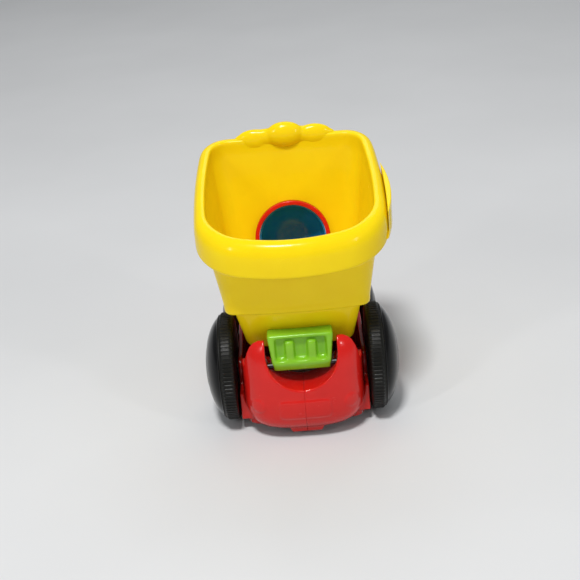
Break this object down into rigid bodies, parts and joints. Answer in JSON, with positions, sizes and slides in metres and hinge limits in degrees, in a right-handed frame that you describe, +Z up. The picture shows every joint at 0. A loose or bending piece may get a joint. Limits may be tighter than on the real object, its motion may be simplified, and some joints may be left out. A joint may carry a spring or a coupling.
{
  "type": "toy tipper truck",
  "caption": "Chubby pull back toy tipper truck with a tall tipping hopper, domed black wheels and a spring drive on the rear axle.",
  "frame": {"origin": "on the ground, at the middle of the footprint", "axes": "+Y is the way the truck drives, +X is its right side, +Z is up"},
  "size_m": [0.09, 0.122, 0.126],
  "materials": {
    "yellow_plastic": "glossy moulded",
    "red_plastic": "glossy moulded",
    "green_plastic": "glossy moulded",
    "blue_plastic": "glossy moulded",
    "wheel_black": "satin, ribbed",
    "cap_black": "glossy moulded",
    "shaft_steel": "drawn rod",
    "screw_steel": "zinc plated",
    "spring_steel": "blued strip",
    "motor_plastic": "natural",
    "gear_plastic": "natural"
  },
  "bodies": {
    "chassis": {"body_left": "red_plastic", "body_right": "red_plastic", "base_plate": "red_plastic", "base_screws": "screw_steel", "hinge_pin": "shaft_steel", "motor_case_left": "motor_plastic", "motor_case_right": "motor_plastic", "motor_screws": "screw_steel", "idler_shaft": "shaft_steel", "mainspring": "spring_steel"},
    "rear_axle_set": {"rear_axle": "shaft_steel", "axle_pinion": "gear_plastic", "rear_wheel_left": "wheel_black", "rear_wheel_right": "wheel_black", "rear_wheel_cap_left": "cap_black", "rear_wheel_cap_right": "cap_black"},
    "front_axle_set": {"front_axle": "shaft_steel", "front_wheel_left": "wheel_black", "front_wheel_right": "wheel_black", "front_wheel_cap_left": "cap_black", "front_wheel_cap_right": "cap_black"},
    "idler": {"idler_gear": "gear_plastic"},
    "spring_drive": {"spring_gear": "gear_plastic", "spring_arbor": "shaft_steel"},
    "hopper": {"hopper_shell": "yellow_plastic", "hopper_tub": "yellow_plastic", "side_grip": "yellow_plastic", "window_ring": "red_plastic", "window_bowl": "blue_plastic", "hinge_bracket": "green_plastic"}
  },
  "joints": [
    {"name": "rear_axle_spin", "type": "hinge", "parent": "chassis", "child": "rear_axle_set", "pos_m": [0, -0.025, 0.025], "axis": [1, 0, 0], "continuous": true},
    {"name": "front_axle_spin", "type": "hinge", "parent": "chassis", "child": "front_axle_set", "pos_m": [0, 0.035, 0.0195], "axis": [1, 0, 0], "continuous": true},
    {"name": "idler_spin", "type": "hinge", "parent": "chassis", "child": "idler", "pos_m": [0, -0.01171, 0.02266], "axis": [1, 0, 0], "continuous": true},
    {"name": "spring_gear_spin", "type": "hinge", "parent": "chassis", "child": "spring_drive", "pos_m": [0, 0.00329, 0.02266], "axis": [1, 0, 0], "continuous": true},
    {"name": "hopper_tip", "type": "hinge", "parent": "chassis", "child": "hopper", "pos_m": [0, -0.049, 0.0365], "axis": [1, 0, 0], "range_deg": [0, 40]}
  ],
  "couplings": [
    {"joint": "idler_spin", "follows": "rear_axle_spin", "ratio": -0.5},
    {"joint": "spring_gear_spin", "follows": "rear_axle_spin", "ratio": 0.21429}
  ]
}
